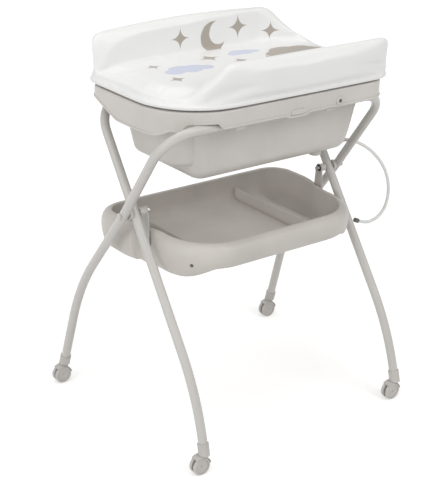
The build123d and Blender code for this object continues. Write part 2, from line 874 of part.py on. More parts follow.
with BuildPart() as changer_pad:
    extrude(pad_plan(0, pad_bottom), amount=pad_wall_top - pad_bottom)
    with BuildSketch(Plane.YZ.offset(-pad_half_length)):
        with BuildLine():
            ThreePointArc(
                (-pad_half_depth, pad_bed_top - pad_crown),
                (0, pad_bed_top),
                (pad_half_depth, pad_bed_top - pad_crown),
            )
            Polyline(
                (pad_half_depth, pad_bed_top - pad_crown),
                (pad_half_depth, pad_bottom),
                (-pad_half_depth, pad_bottom),
                (-pad_half_depth, pad_bed_top - pad_crown),
            )
        make_face()
    extrude(amount=2 * pad_half_length, mode=Mode.INTERSECT)
    add(pad_wall(pad_wall_start, pad_wall_end))
    add(pad_wall(rear_wall_start, rear_wall_end).rotate(Axis.Z, 180))
    for side in (-1, 1):
        bow_reach = (pad_wide_corner - pad_tight_corner) / 2
        bow_half = pad_half_depth - (pad_wide_corner + pad_tight_corner) / 2
        bow = (bow_half**2 + pad_side_draw**2) / (2 * pad_side_draw)
        with BuildSketch(Plane.XY.offset(pad_bottom)):
            with Locations((side * (pad_half_length + bow - pad_side_draw), -side * bow_reach)):
                Circle(bow)
        extrude(amount=pad_wall_top, mode=Mode.SUBTRACT)
    extrude(
        pad_plan(board_inset - seat_gap, pad_bottom),
        amount=board_top + seat_gap - pad_bottom,
        mode=Mode.SUBTRACT,
    )
keep(changer_pad.part, "changer_pad")

# Hinges of the changing top along the rear rim
knuckle_radius = hinge_knuckle_diameter / 2
hinge_y = tub_half_depth + knuckle_radius + bearing_gap
hinge_z = rim_top + seat_gap + hinge_leaf / 2
pin_bore = hinge_pin_diameter / 2 + running_gap
outer_knuckle = hinge_knuckle_length + bearing_gap

for centre, name in zip(hinge_centres, ("left", "right")):
    with BuildPart() as hinge_leaf_piece:
        middle = Plane.YZ.offset(centre - hinge_knuckle_length / 2)
        with BuildSketch(middle):
            with Locations((hinge_y, hinge_z)):
                Circle(knuckle_radius)
            with Locations((hinge_y - hinge_leaf_reach / 2, hinge_z)):
                Rectangle(hinge_leaf_reach, hinge_leaf)
            with Locations((hinge_y, hinge_z)):
                Circle(pin_bore, mode=Mode.SUBTRACT)
        extrude(amount=hinge_knuckle_length)
    keep(hinge_leaf_piece.part, f"hinge_leaf_{name}")

    with BuildPart() as hinge_knuckle:
        for offset in (-outer_knuckle, outer_knuckle):
            with BuildSketch(Plane.YZ.offset(centre + offset - hinge_knuckle_length / 2)):
                with Locations((hinge_y, hinge_z)):
                    Circle(knuckle_radius)
                with Locations((tub_half_depth + running_gap + hinge_leaf / 2, hinge_z)):
                    Rectangle(hinge_leaf, knuckle_radius, align=(Align.CENTER, Align.MAX))
                with Locations((hinge_y, hinge_z)):
                    Circle(pin_bore, mode=Mode.SUBTRACT)
            extrude(amount=hinge_knuckle_length)
        plate_top = hinge_z - knuckle_radius - bearing_gap
        plate_plane = Plane.XZ.offset(-tub_half_depth - running_gap)
        with BuildSketch(plate_plane):
            with Locations((centre, plate_top - hinge_plate_height / 2)):
                Rectangle(2 * outer_knuckle + hinge_knuckle_length, hinge_plate_height)
        extrude(amount=-hinge_leaf)
        for offset in (-outer_knuckle, outer_knuckle):
            with BuildSketch(plate_plane):
                with Locations((centre + offset, plate_top)):
                    Rectangle(hinge_knuckle_length, 2 * knuckle_radius)
            extrude(amount=-hinge_leaf)
            with BuildSketch(Plane.YZ.offset(centre + offset - hinge_knuckle_length / 2)):
                with Locations((hinge_y, hinge_z)):
                    Circle(pin_bore)
            extrude(amount=hinge_knuckle_length, mode=Mode.SUBTRACT)
    keep(hinge_knuckle.part, f"hinge_knuckle_{name}")

    with BuildPart() as hinge_pin:
        with BuildSketch(Plane.YZ.offset(centre - outer_knuckle - hinge_knuckle_length / 2)):
            with Locations((hinge_y, hinge_z)):
                Circle(hinge_pin_diameter / 2)
        extrude(amount=2 * outer_knuckle + hinge_knuckle_length)
    keep(hinge_pin.part, f"hinge_pin_{name}")

# Storage tray: stepped shell with a rolled rim, two dividers and a recess at each end
tray_top = tray_rim_ends + cut_over


def tray_plan(inset, level):
    """Outline of the tray at its top, drawn in by inset."""
    return point_symmetric_plan(
        tray_half_length - inset,
        tray_half_depth - inset,
        tray_wide_corner - inset,
        tray_tight_corner - inset,
        level,
    )


def tray_band(lower_middle, lower_ends, upper_middle, upper_ends):
    """Prism across the tray between two stepped lines of the front view."""
    reach = 2 * tray_half_length
    with BuildPart() as band:
        with BuildSketch(Plane.XZ.offset(-2 * tray_half_depth)):
            with BuildLine():
                FilletPolyline(
                    (-reach, lower_ends),
                    (-tray_step_end, lower_ends),
                    (-tray_step_start, lower_middle),
                    (tray_step_start, lower_middle),
                    (tray_step_end, lower_ends),
                    (reach, lower_ends),
                    (reach, upper_ends),
                    (tray_step_end, upper_ends),
                    (tray_step_start, upper_middle),
                    (-tray_step_start, upper_middle),
                    (-tray_step_end, upper_ends),
                    (-reach, upper_ends),
                    radius=[0] + [tray_step_bend] * 4 + [0, 0] + [tray_step_bend] * 4 + [0],
                    close=True,
                )
            make_face()
        extrude(amount=4 * tray_half_depth)
    return band.part


tray_depth = tray_top - tray_edge_ends + cut_over
tray_slope_share = 0.6
tray_screw_draft = (tray_top - tray_screw_level) * tan(radians(tray_draft))
tray_screw_plane = Plane.XZ.offset(tray_half_depth - tray_screw_draft - tray_screw_recess)


def floor_edges(solid):
    """Outline of a solid's underside, where its floor meets its walls."""
    floor_faces = solid.faces().filter_by(lambda face: face.normal_at().Z < -tray_slope_share)
    return floor_faces.edges().filter_by(
        lambda edge: sum(edge in face.edges() for face in floor_faces) == 1
    )


def tray_shell(inset, lower_middle, lower_ends, upper_middle, upper_ends):
    """Tray as a solid: drafted sides, stepped floor with rounded edges, stepped top."""
    with BuildPart() as shell:
        extrude(tray_plan(inset, tray_top), amount=tray_depth, dir=(0, 0, -1), taper=tray_draft)
        add(
            tray_band(lower_middle, lower_ends, upper_middle, upper_ends),
            mode=Mode.INTERSECT,
        )
        fillet(floor_edges(shell.part), radius=tray_floor_round - inset)
    return shell.part


with BuildPart() as tray_cavity:
    add(
        tray_shell(
            tray_wall,
            tray_edge_middle + tray_wall,
            tray_edge_ends + tray_wall,
            tray_rim_middle + tray_depth,
            tray_rim_ends + tray_depth,
        )
    )
    for side in (-1, 1):
        with BuildSketch(Plane.XY.offset(tray_edge_ends - cut_over)):
            with Locations((side * tray_half_length, 0)):
                Rectangle(2 * (recess_depth + tray_wall), recess_width + 2 * tray_wall)
        extrude(amount=tray_depth + cut_over, mode=Mode.SUBTRACT)

with BuildPart() as tray_dividers:
    for side in (-1, 1):
        with BuildSketch(Plane.XY.offset(divider_top)):
            with BuildLine():
                ThreePointArc(
                    (side * (divider_place + divider_bow), -tray_half_depth),
                    (side * divider_place, 0),
                    (side * (divider_place + divider_bow), tray_half_depth),
                )
            trace(line_width=divider_width)
        extrude(
            amount=divider_top - tray_edge_ends, dir=(0, 0, -1), taper=-divider_draft
        )
    add(tray_cavity.part, mode=Mode.INTERSECT)

with BuildPart() as tray_rim:
    extrude(tray_plan(-tray_rim_width, tray_edge_middle), amount=tray_top - tray_edge_middle)
    extrude(
        tray_plan(2 * tray_rim_width, tray_edge_middle),
        amount=tray_top - tray_edge_middle,
        mode=Mode.SUBTRACT,
    )
    add(
        tray_band(
            tray_rim_middle - tray_rim_height,
            tray_rim_ends - tray_rim_height,
            tray_rim_middle,
            tray_rim_ends,
        ),
        mode=Mode.INTERSECT,
    )

with BuildPart() as tray:
    add(tray_shell(0, tray_edge_middle, tray_edge_ends, tray_rim_middle, tray_rim_ends))
    add(tray_rim.part)
    add(tray_cavity.part, mode=Mode.SUBTRACT)
    add(tray_dividers.part)
    for side in (-1, 1):
        with BuildSketch(Plane.XY.offset(tray_edge_ends - cut_over)):
            with Locations((side * (tray_half_length + recess_depth), 0)):
                Rectangle(4 * recess_depth, recess_width)
        extrude(amount=tray_depth + cut_over, mode=Mode.SUBTRACT)
    for place in (-tray_screw_place, tray_screw_place):
        with BuildSketch(tray_screw_plane):
            with Locations((place, tray_screw_level)):
                Circle(tray_screw_head / 2 + seat_gap)
        extrude(amount=2 * tray_wall, mode=Mode.SUBTRACT)
        with BuildSketch(tray_screw_plane):
            with Locations((place, tray_screw_level)):
                Circle(tray_screw_shank / 2 + running_gap)
        extrude(amount=-2 * tray_wall, mode=Mode.SUBTRACT)
keep(tray.part, "tray")

for place, name in ((-tray_screw_place, "left"), (tray_screw_place, "right")):
    with BuildPart() as tray_screw:
        with BuildSketch(tray_screw_plane):
            with Locations((place, tray_screw_level)):
                Circle(tray_screw_head / 2)
        extrude(amount=tray_screw_head_height)
        chamfer(edges().group_by(Axis.Y)[0], length=tray_screw_head_height / 3)
        with BuildSketch(tray_screw_plane):
            with Locations((place, tray_screw_level)):
                Circle(tray_screw_shank / 2)
        extrude(amount=-tray_screw_length)
    keep(tray_screw.part, f"tray_screw_{name}")

# Tray hangers: ribbed plates in the recesses, with a boss on the crossing axis
hanger_top = crossing_height + hanger_boss_diameter / 2
boss_face = inner_face - bearing_gap
for side, name in ((-1, "left"), (1, "right")):
    with BuildPart() as tray_hanger:
        plate_plane = Plane.YZ.offset(side * hanger_inner_face)
        with BuildSketch(plate_plane):
            with Locations((0, hanger_top - hanger_height / 2)):
                RectangleRounded(hanger_width, hanger_height, hanger_boss_diameter / 4)
        extrude(amount=side * hanger_plate)
        with BuildSketch(plate_plane):
            with Locations((0, crossing_height - hanger_height / 3)):
                Rectangle(hanger_rib, hanger_height / 2)
        extrude(amount=side * (hanger_plate + hanger_rib_depth))
        with BuildSketch(plate_plane):
            with Locations((0, crossing_height)):
                Circle(hanger_boss_diameter / 2)
        extrude(amount=side * (boss_face - hanger_inner_face))
        with BuildSketch(plate_plane):
            with Locations((0, crossing_height)):
                Circle(pivot_radius + running_gap)
        extrude(amount=side * (boss_face - hanger_inner_face), mode=Mode.SUBTRACT)
    keep(tray_hanger.part, f"tray_hanger_{name}")
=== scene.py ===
import math

import bpy
import numpy as np
from mathutils import Matrix, Vector


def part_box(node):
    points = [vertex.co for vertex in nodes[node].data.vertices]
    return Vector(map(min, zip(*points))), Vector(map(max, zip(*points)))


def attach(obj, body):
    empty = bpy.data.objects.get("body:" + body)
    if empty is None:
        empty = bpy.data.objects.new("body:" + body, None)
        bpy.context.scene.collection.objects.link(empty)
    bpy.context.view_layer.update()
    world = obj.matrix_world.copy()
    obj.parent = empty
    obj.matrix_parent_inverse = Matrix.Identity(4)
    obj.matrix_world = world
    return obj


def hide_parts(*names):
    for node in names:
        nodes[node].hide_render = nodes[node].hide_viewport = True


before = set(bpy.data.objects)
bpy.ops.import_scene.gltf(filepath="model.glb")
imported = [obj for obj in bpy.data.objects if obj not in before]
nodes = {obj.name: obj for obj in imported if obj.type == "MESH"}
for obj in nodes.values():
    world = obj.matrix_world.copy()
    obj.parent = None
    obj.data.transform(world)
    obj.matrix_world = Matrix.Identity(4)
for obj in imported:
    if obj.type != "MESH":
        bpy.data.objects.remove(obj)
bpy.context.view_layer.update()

MM = 0.001
ORIGIN = Vector((10.5, 14.0, 0.0)) * MM  # from the stand's own middle to the object's origin


def place(x, y, z):
    """A point of the stand, in millimetres, as a point of the object, in metres."""
    return Vector((x, y, z)) * MM + ORIGIN


# Node helpers
class Nodes:
    """Short names for the nodes of one material."""

    def __init__(self, name):
        self.material = bpy.data.materials.new(name)
        self.material.use_nodes = True
        self.tree = self.material.node_tree
        self.shader = self.tree.nodes["Principled BSDF"]

    def add(self, kind, **values):
        node = self.tree.nodes.new(kind)
        for key, value in values.items():
            setattr(node, key, value)
        return node

    def link(self, source, target):
        self.tree.links.new(source, target)

    def put(self, target, value):
        if isinstance(value, bpy.types.NodeSocket):
            self.link(value, target)
        else:
            target.default_value = value

    def shade(self, name, value):
        """Gives one input of the material's shader a value or another node's output."""
        self.put(self.shader.inputs[name], value)

    def math(self, operation, first, second=0.0):
        node = self.add("ShaderNodeMath", operation=operation)
        for socket, value in zip(node.inputs, (first, second)):
            self.put(socket, value)
        return node.outputs[0]

    def vector(self, operation, first, second=(0.0, 0.0, 0.0)):
        node = self.add("ShaderNodeVectorMath", operation=operation)
        self.put(node.inputs[0], first)
        self.put(node.inputs[1], second)
        return node.outputs["Value" if operation == "LENGTH" else "Vector"]

    def coordinates(self):
        return self.add("ShaderNodeTexCoord").outputs["Object"]

    def noise(self, scale, detail=2.0, coordinates=None):
        node = self.add("ShaderNodeTexNoise")
        self.put(node.inputs["Vector"], coordinates or self.coordinates())
        node.inputs["Scale"].default_value = scale
        node.inputs["Detail"].default_value = detail
        return node.outputs["Fac"]

    def ramp(self, value, low, high, start, end):
        """A straight ramp from start at low to end at high, level beyond them."""
        node = self.add("ShaderNodeMapRange")
        self.put(node.inputs["Value"], value)
        for key, number in zip(("From Min", "From Max", "To Min", "To Max"), (low, high, start, end)):
            node.inputs[key].default_value = number
        return node.outputs["Result"]

    def mix(self, factor, first, second):
        node = self.add("ShaderNodeMix", data_type="RGBA")
        self.put(node.inputs["Factor"], factor)
        colours = [socket for socket in node.inputs if socket.type == "RGBA"]
        self.put(colours[0], first)
        self.put(colours[1], second)
        return [socket for socket in node.outputs if socket.type == "RGBA"][0]

    def bump(self, height, strength, distance):
        node = self.add("ShaderNodeBump")
        self.put(node.inputs["Height"], height)
        node.inputs["Strength"].default_value = strength
        node.inputs["Distance"].default_value = distance
        return node.outputs["Normal"]


def srgb(red, green, blue):
    """Linear colour with alpha from display values of 0 to 255."""
    linear = []
    for value in (red, green, blue):
        share = value / 255
        linear.append(share / 12.92 if share <= 0.04045 else ((share + 0.055) / 1.055) ** 2.4)
    return (*linear, 1.0)


def scaled(colour, share):
    """A colour made darker or lighter by a share, and kept opaque."""
    return tuple(min(channel * share, 1.0) for channel in colour[:3]) + (1.0,)


def moulded(name, colour, roughness, coat=0.0):
    """Moulded plastic: fine grain, a little cloudiness in its colour and its gloss."""
    made = Nodes(name)
    cloud = made.ramp(made.noise(7.0, 3.0), 0.3, 0.7, 0.0, 1.0)
    fine = made.noise(900.0)
    made.shade("Base Color", made.mix(cloud, scaled(colour, 0.93), scaled(colour, 1.05)))
    gloss = made.ramp(made.noise(40.0, 4.0), 0.3, 0.7, roughness - 0.05, roughness + 0.06)
    made.shade("Roughness", gloss)
    made.shade("Normal", made.bump(fine, 0.35, 0.00006))
    made.shade("Coat Weight", coat)
    made.shade("Coat Roughness", 0.25)
    return made.material


def painted(name, colour):
    """Powder-coated tube: slight orange peel and a satin gloss."""
    made = Nodes(name)
    peel = made.noise(420.0, 3.0)
    cloud = made.noise(9.0)
    made.shade("Base Color", made.mix(cloud, scaled(colour, 0.95), colour))
    made.shade("Roughness", made.ramp(made.noise(60.0), 0.3, 0.7, 0.3, 0.4))
    made.shade("Normal", made.bump(peel, 0.3, 0.00008))
    made.shade("Coat Weight", 0.25)
    made.shade("Coat Roughness", 0.2)
    return made.material


def steel(name, darker, lighter):
    """Plated steel with faint turning marks."""
    made = Nodes(name)
    stretched = made.vector("MULTIPLY", made.coordinates(), (1.0, 30.0, 30.0))
    marks = made.noise(60.0, 3.0, stretched)
    made.shade("Metallic", 1.0)
    made.shade("Base Color", made.mix(marks, darker, lighter))
    made.shade("Roughness", made.ramp(marks, 0.3, 0.7, 0.28, 0.42))
    made.shade("Normal", made.bump(marks, 0.2, 0.00005))
    return made.material


def milky_hose(name):
    """Soft milky hose with a smooth, slightly waxy wall."""
    made = Nodes(name)
    cloud = made.noise(12.0)
    made.shade("Base Color", made.mix(cloud, srgb(228, 228, 226), srgb(240, 240, 238)))
    made.shade("Roughness", made.ramp(cloud, 0.3, 0.7, 0.3, 0.4))
    made.shade("Normal", made.bump(made.noise(300.0), 0.15, 0.00003))
    made.shade("Subsurface Weight", 0.12)
    made.shade("Subsurface Scale", 0.003)
    made.shade("Coat Weight", 0.2)
    return made.material


# Printed cover
def coated_cloth(name, printed):
    """Wipe-clean coated fabric over foam, with a calm print of clouds, a moon and stars."""
    made = Nodes(name)
    where = made.coordinates()
    colour = made.mix(made.noise(11.0, 3.0, where), srgb(235, 235, 234), srgb(242, 242, 241))
    if printed:
        colour = night_print(made, where, colour)
    made.shade("Base Color", colour)
    grain = made.noise(1500.0)
    soft = made.noise(14.0, 4.0)
    height = made.math("ADD", made.math("MULTIPLY", grain, 0.05), soft)
    made.shade("Normal", made.bump(height, 0.22, 0.003))
    made.shade("Roughness", made.ramp(grain, 0.3, 0.7, 0.4, 0.52))
    made.shade("Sheen Weight", 0.1)
    made.shade("Coat Weight", 0.12)
    made.shade("Coat Roughness", 0.35)
    return made.material


# The print, in millimetres of the stand: across and along, then size. Along is the depth on the bed
# and the height on the rear wall
BLUE_CLOUDS = ((-150, 26, 48), (84, 96, 34))
GREY_CLOUD = (214, 34, 62)
BED_STARS = ((-34, 92, 40), (22, 24, 30), (-214, 96, 28), (-232, -40, 30), (110, 10, 26))
WALL_STARS = ((-70, 1012, 34), (128, 1022, 38), (236, 1000, 30))
MOON_DISC = (42, 1004, 43)
MOON_BITE = (62, 1014, 34)
# Each puff of a cloud as shares of the cloud's size: across, along, radius
cloud_puff_shares = (
    (-0.95, -0.12, 0.62), (-0.3, 0.22, 0.8), (0.45, 0.1, 0.7), (1.05, -0.15, 0.5), (0.1, -0.22, 0.62),
)
PUFF_FLATTEN_SHARE = 0.8
EDGE_BLUR = 0.0008
STAR_BLUR = 0.006
EDGE_WOBBLE = 0.003
# Where the print on the bed ends and the print on the rear wall starts, in metres
BED_TOP_START = 0.99
BED_TOP_END = 1.0
WALL_FRONT_START = 0.12
WALL_FRONT_END = 0.13


def night_print(made, where, ground):
    """Clouds and stars printed on the bed and a moon with stars on the rear wall."""
    parts = made.add("ShaderNodeSeparateXYZ")
    made.link(where, parts.inputs[0])
    facing = made.add("ShaderNodeSeparateXYZ")
    made.link(made.add("ShaderNodeTexCoord").outputs["Normal"], facing.inputs[0])
    wobble = made.math("MULTIPLY", made.math("SUBTRACT", made.noise(60.0, 1.0), 0.5), EDGE_WOBBLE)

    def flat(upright):
        """The flat place that a print lies in: across and height, or across and depth."""
        both = made.add("ShaderNodeCombineXYZ")
        made.link(parts.outputs["X"], both.inputs["X"])
        made.link(parts.outputs["Z" if upright else "Y"], both.inputs["Y"])
        return both.outputs[0]

    bed, wall = flat(False), flat(True)

    def local(plane, across, along):
        """The place as seen from a print's own centre."""
        centre = place(across, along, along)
        return made.vector("SUBTRACT", plane, (centre.x, centre.z if plane == wall else centre.y, 0.0))

    def disc(plane, across, along, radius, flatten=1.0):
        squeezed = made.vector("MULTIPLY", local(plane, across, along), (1.0, 1.0 / flatten, 1.0))
        distance = made.math("ADD", made.vector("LENGTH", squeezed), wobble)
        return made.ramp(distance, radius * MM - EDGE_BLUR, radius * MM + EDGE_BLUR, 1.0, 0.0)

    def star(plane, across, along, size):
        """Four points with hollow sides between them."""
        split = made.add("ShaderNodeSeparateXYZ")
        made.link(made.vector("ABSOLUTE", local(plane, across, along)), split.inputs[0])
        roots = [made.math("SQRT", split.outputs[axis]) for axis in ("X", "Y")]
        rays = made.math("ADD", *roots)
        reach = math.sqrt(size * MM)
        return made.ramp(rays, reach - STAR_BLUR, reach + STAR_BLUR, 1.0, 0.0)

    def joined(masks):
        """One mask that covers what any of them covers."""
        total = masks[0]
        for mask in masks[1:]:
            total = made.math("MAXIMUM", total, mask)
        return total

    def cloud(across, along, size):
        return [
            disc(bed, across + size * right, along + size * up, size * share, PUFF_FLATTEN_SHARE)
            for right, up, share in cloud_puff_shares
        ]

    moon = made.math("MULTIPLY", disc(wall, *MOON_DISC), made.math("SUBTRACT", 1.0, disc(wall, *MOON_BITE)))
    on_bed = made.ramp(facing.outputs["Z"], 0.55, 0.75, 0.0, 1.0)
    below_wall = made.ramp(parts.outputs["Z"], BED_TOP_START, BED_TOP_END, 1.0, 0.0)
    on_bed = made.math("MULTIPLY", on_bed, below_wall)
    on_wall = made.ramp(facing.outputs["Y"], -0.6, -0.4, 1.0, 0.0)
    at_rear = made.ramp(parts.outputs["Y"], WALL_FRONT_START, WALL_FRONT_END, 0.0, 1.0)
    on_wall = made.math("MULTIPLY", on_wall, at_rear)
    blue_puffs = [puff for spot in BLUE_CLOUDS for puff in cloud(*spot)]
    blue = made.math("MULTIPLY", joined(blue_puffs), on_bed)
    grey_cloud = made.math("MULTIPLY", joined(cloud(*GREY_CLOUD)), on_bed)
    bed_stars = made.math("MULTIPLY", on_bed, joined([star(bed, *spot) for spot in BED_STARS]))
    wall_stars = [star(wall, *spot) for spot in WALL_STARS]
    wall_print = made.math("MULTIPLY", on_wall, joined([moon] + wall_stars))
    taupe = joined([grey_cloud, bed_stars, wall_print])
    return made.mix(taupe, made.mix(blue, ground, srgb(207, 211, 229)), srgb(174, 166, 156))


warm_grey = srgb(209, 205, 200)
materials = {
    "frame": painted("frame_paint", srgb(206, 203, 199)),
    "tub": moulded("tub_plastic", warm_grey, 0.42, coat=0.1),
    "tray": moulded("tray_plastic", srgb(207, 202, 196), 0.45, coat=0.08),
    "hub": moulded("hub_plastic", srgb(208, 205, 200), 0.42),
    "socket": moulded("socket_plastic", srgb(200, 197, 193), 0.45),
    "caster": moulded("caster_plastic", srgb(198, 194, 190), 0.45),
    "wheel": moulded("wheel_plastic", srgb(203, 199, 195), 0.5),
    "dark": moulded("dark_plastic", srgb(110, 106, 102), 0.45),
    "board": moulded("board_plastic", srgb(222, 221, 219), 0.5),
    "steel": steel("plated_steel", srgb(168, 168, 170), srgb(196, 196, 198)),
    "screw": steel("blackened_steel", srgb(84, 82, 80), srgb(112, 110, 108)),
    "hose": milky_hose("hose_wall"),
    "cover": coated_cloth("printed_cover", True),
    "piping": coated_cloth("plain_cover", False),
}


def dress(node, material):
    """Gives a CAD node one material all over."""
    data = nodes[node].data
    data.materials.clear()
    data.materials.append(materials[material])


corners = ("front_left", "front_right", "rear_left", "rear_right")
sides = ("left", "right")
finishes = {
    "inner_frame": "frame", "outer_frame": "frame", "tub": "tub", "tray": "tray",
    "drain_cup": "tub", "drain_plug": "hub", "release_button": "tub", "hanger_ring": "hub",
    "hose_collar": "hub", "hose_stopper": "dark", "drain_hose": "hose",
    "changer_board": "board", "changer_pad": "piping",
}
for side in sides:
    for stem, finish in {
        "pivot_bolt": "hub", "pivot_nut": "steel", "hub_spacer": "hub", "hinge_bracket": "tub",
        "bar_clip": "tub", "hinge_leaf": "hub", "hinge_knuckle": "hub", "hinge_pin": "steel",
        "tray_hanger": "hub", "tray_screw": "steel",
    }.items():
        finishes[f"{stem}_{side}"] = finish
for corner in corners:
    for stem, finish in {
        "socket": "socket", "caster_hood": "caster", "caster_axle": "steel",
        "rear_wheel": "wheel", "front_wheel": "wheel",
    }.items():
        finishes[f"{corner}_{stem}"] = finish
for node, finish in finishes.items():
    dress(node, finish)


# Mesh helpers
def link_new(name, data):
    """A new object in the scene."""
    made = bpy.data.objects.new(name, data)
    bpy.context.scene.collection.objects.link(made)
    return made


def evaluated(piece):
    """The piece's mesh with its modifiers applied."""
    bpy.context.view_layer.update()
    shown = piece.evaluated_get(bpy.context.evaluated_depsgraph_get())
    return bpy.data.meshes.new_from_object(shown)


def settle(piece):
    """Applies every modifier of a piece."""
    mesh = evaluated(piece)
    piece.modifiers.clear()
    piece.data = mesh


def smooth_shaded(mesh):
    """Shades every face of a mesh smooth."""
    mesh.polygons.foreach_set("use_smooth", [True] * len(mesh.polygons))
    mesh.update()


def points_of(mesh):
    """A mesh's vertices as rows of x, y and z."""
    found = np.empty(len(mesh.vertices) * 3)
    mesh.vertices.foreach_get("co", found)
    return found.reshape(-1, 3)


def normals_of(mesh):
    """The normals at a mesh's vertices as rows."""
    found = np.empty(len(mesh.vertices) * 3)
    mesh.vertices.foreach_get("normal", found)
    return found.reshape(-1, 3)


def write_points(mesh, points):
    """Moves a mesh's vertices to new points."""
    mesh.vertices.foreach_set("co", np.asarray(points, dtype=np.float32).ravel())
    mesh.update()


# Padded top
PAD_VOXEL = 0.006
PAD_RELAX_STEPS = 14
PAD_HELD_BAND = 0.016
PAD_SHRINK = 0.004
PAD_PRESSURE = 4.0
PAD_STIFFNESS = 18.0
PAD_BENDING = 2.0
PAD_SWELL_LIMIT = 0.009
PAD_FRAMES = 18
PAD_EVEN_STEPS = 4
SMOOTH_SHARE = 0.5
TINY_LENGTH = 1e-9

pad = link_new("changing_pad", nodes["changer_pad"].data.copy())
remesh = pad.modifiers.new("remesh", "REMESH")
remesh.mode = "VOXEL"
remesh.voxel_size = PAD_VOXEL
settle(pad)
relax = pad.modifiers.new("relax", "SMOOTH")
relax.factor = SMOOTH_SHARE
relax.iterations = PAD_RELAX_STEPS
settle(pad)

pad_low, pad_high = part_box("changer_pad")
held = pad.vertex_groups.new(name="held")
start_points = points_of(pad.data)
low = np.flatnonzero(start_points[:, 2] < pad_low.z + PAD_HELD_BAND).tolist()
held.add(low, 1.0, "REPLACE")
free = np.ones((len(start_points), 1))
free[low] = 0.0
write_points(pad.data, start_points - normals_of(pad.data) * PAD_SHRINK * free)
cloth = pad.modifiers.new("cloth", "CLOTH")
cloth.settings.use_pressure = True
cloth.settings.uniform_pressure_force = PAD_PRESSURE
cloth.settings.effector_weights.gravity = 0.0
cloth.settings.tension_stiffness = PAD_STIFFNESS
cloth.settings.compression_stiffness = PAD_STIFFNESS
cloth.settings.bending_stiffness = PAD_BENDING
cloth.settings.vertex_group_mass = "held"
cloth.settings.quality = 5
cloth.point_cache.frame_end = PAD_FRAMES
for step in range(1, PAD_FRAMES + 1):
    bpy.context.scene.frame_set(step)
settle(pad)
bpy.context.scene.frame_set(1)
swollen = points_of(pad.data)
shift = swollen - start_points
length = np.linalg.norm(shift, axis=1, keepdims=True)
kept_share = np.minimum(1.0, PAD_SWELL_LIMIT / np.maximum(length, TINY_LENGTH))
write_points(pad.data, start_points + shift * kept_share)
pad.vertex_groups.clear()

# The cover's overhang at the tub's foot end and rear side, its crowned rear wall and lower front wall.
# These are metres from the stand's own middle, as in the tub's section below
FOOT_OVERHANG = 0.034
FOOT_START = 0.15
REAR_OVERHANG = 0.028
REAR_START = 0.04
REAR_END = 0.2
REAR_CROWN = 0.02
REAR_WALL_START = 0.12
REAR_WALL_END = 0.16
FRONT_DROP = 0.009
FRONT_WALL_START = 0.1
FRONT_WALL_END = 0.15
WALL_FOOT_LEVEL = 0.965
WALL_TOP_LEVEL = 1.04
UNDERSIDE_RISE = 0.03
LIP_RISE = 0.01


def eased(values, low, high):
    """A smooth step from 0 at low to 1 at high."""
    share = np.clip((values - low) / (high - low), 0.0, 1.0)
    return share * share * (3.0 - 2.0 * share)


def rounded(values, rise):
    """A quarter circle from 0 at 0 to 1 at rise."""
    return np.sqrt(1.0 - (1.0 - np.clip(values / rise, 0.0, 1.0)) ** 2)


def overhanging(points):
    """Draws the cover out over the tub and shapes its two walls."""
    x, y, z = (points - np.array(ORIGIN)).T
    above = z - pad_low.z
    half_length = (pad_high.x - pad_low.x) / 2
    high = eased(z, WALL_FOOT_LEVEL, WALL_TOP_LEVEL)
    crown = (1.0 - (x / half_length) ** 2).clip(0.0) * eased(y, REAR_WALL_START, REAR_WALL_END)
    moved = points.copy()
    moved[:, 0] += FOOT_OVERHANG * eased(x, FOOT_START, half_length) * rounded(above, UNDERSIDE_RISE)
    moved[:, 1] += REAR_OVERHANG * eased(y, REAR_START, REAR_END) * rounded(above, LIP_RISE)
    moved[:, 2] += REAR_CROWN * crown * high
    moved[:, 2] -= FRONT_DROP * eased(-y, FRONT_WALL_START, FRONT_WALL_END) * high
    return moved


write_points(pad.data, overhanging(points_of(pad.data)))

even = pad.modifiers.new("even", "SMOOTH")
even.factor = SMOOTH_SHARE
even.iterations = PAD_EVEN_STEPS
subdivide = pad.modifiers.new("subdivide", "SUBSURF")
subdivide.levels = 1
subdivide.render_levels = 1
settle(pad)
smooth_shaded(pad.data)
pad.data.materials.clear()
pad.data.materials.append(materials["cover"])
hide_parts("changer_pad")
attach(pad, "changing_top")


# Piping along the pad's lower edge
PIPING_LEVEL = 0.007
PIPING_HALF_HEIGHT = 0.0055
PIPING_HALF_WIDTH = 0.0038
PIPING_SIDES = 12
PIPING_STEP = 0.008
PIPING_SMOOTH_STEPS = 4


def outline_round(points):
    """The convex outline of points seen from above, anticlockwise."""
    flat = sorted({(round(x, 5), round(y, 5)) for x, y in points})

    def half(ordered):
        """One side of the outline: the points between which every turn is to the left."""
        kept = []
        for x, y in ordered:
            while len(kept) > 1:
                (ax, ay), (bx, by) = kept[-2:]
                if (bx - ax) * (y - ay) - (by - ay) * (x - ax) > 0:
                    break
                kept.pop()
            kept.append((x, y))
        return kept[:-1]

    return np.array(half(flat) + half(flat[::-1]))


def evenly(loop, step):
    """A closed loop's points, spread evenly along it and smoothed a little."""
    closed = np.vstack([loop, loop[:1]])
    lengths = np.concatenate([[0.0], np.cumsum(np.linalg.norm(np.diff(closed, axis=0), axis=1))])
    count = int(lengths[-1] / step)
    where = np.linspace(0.0, lengths[-1], count, endpoint=False)
    spread = np.column_stack([np.interp(where, lengths, closed[:, axis]) for axis in (0, 1)])
    for _ in range(PIPING_SMOOTH_STEPS):
        spread = (np.roll(spread, 1, axis=0) + 2 * spread + np.roll(spread, -1, axis=0)) / 4
    return spread


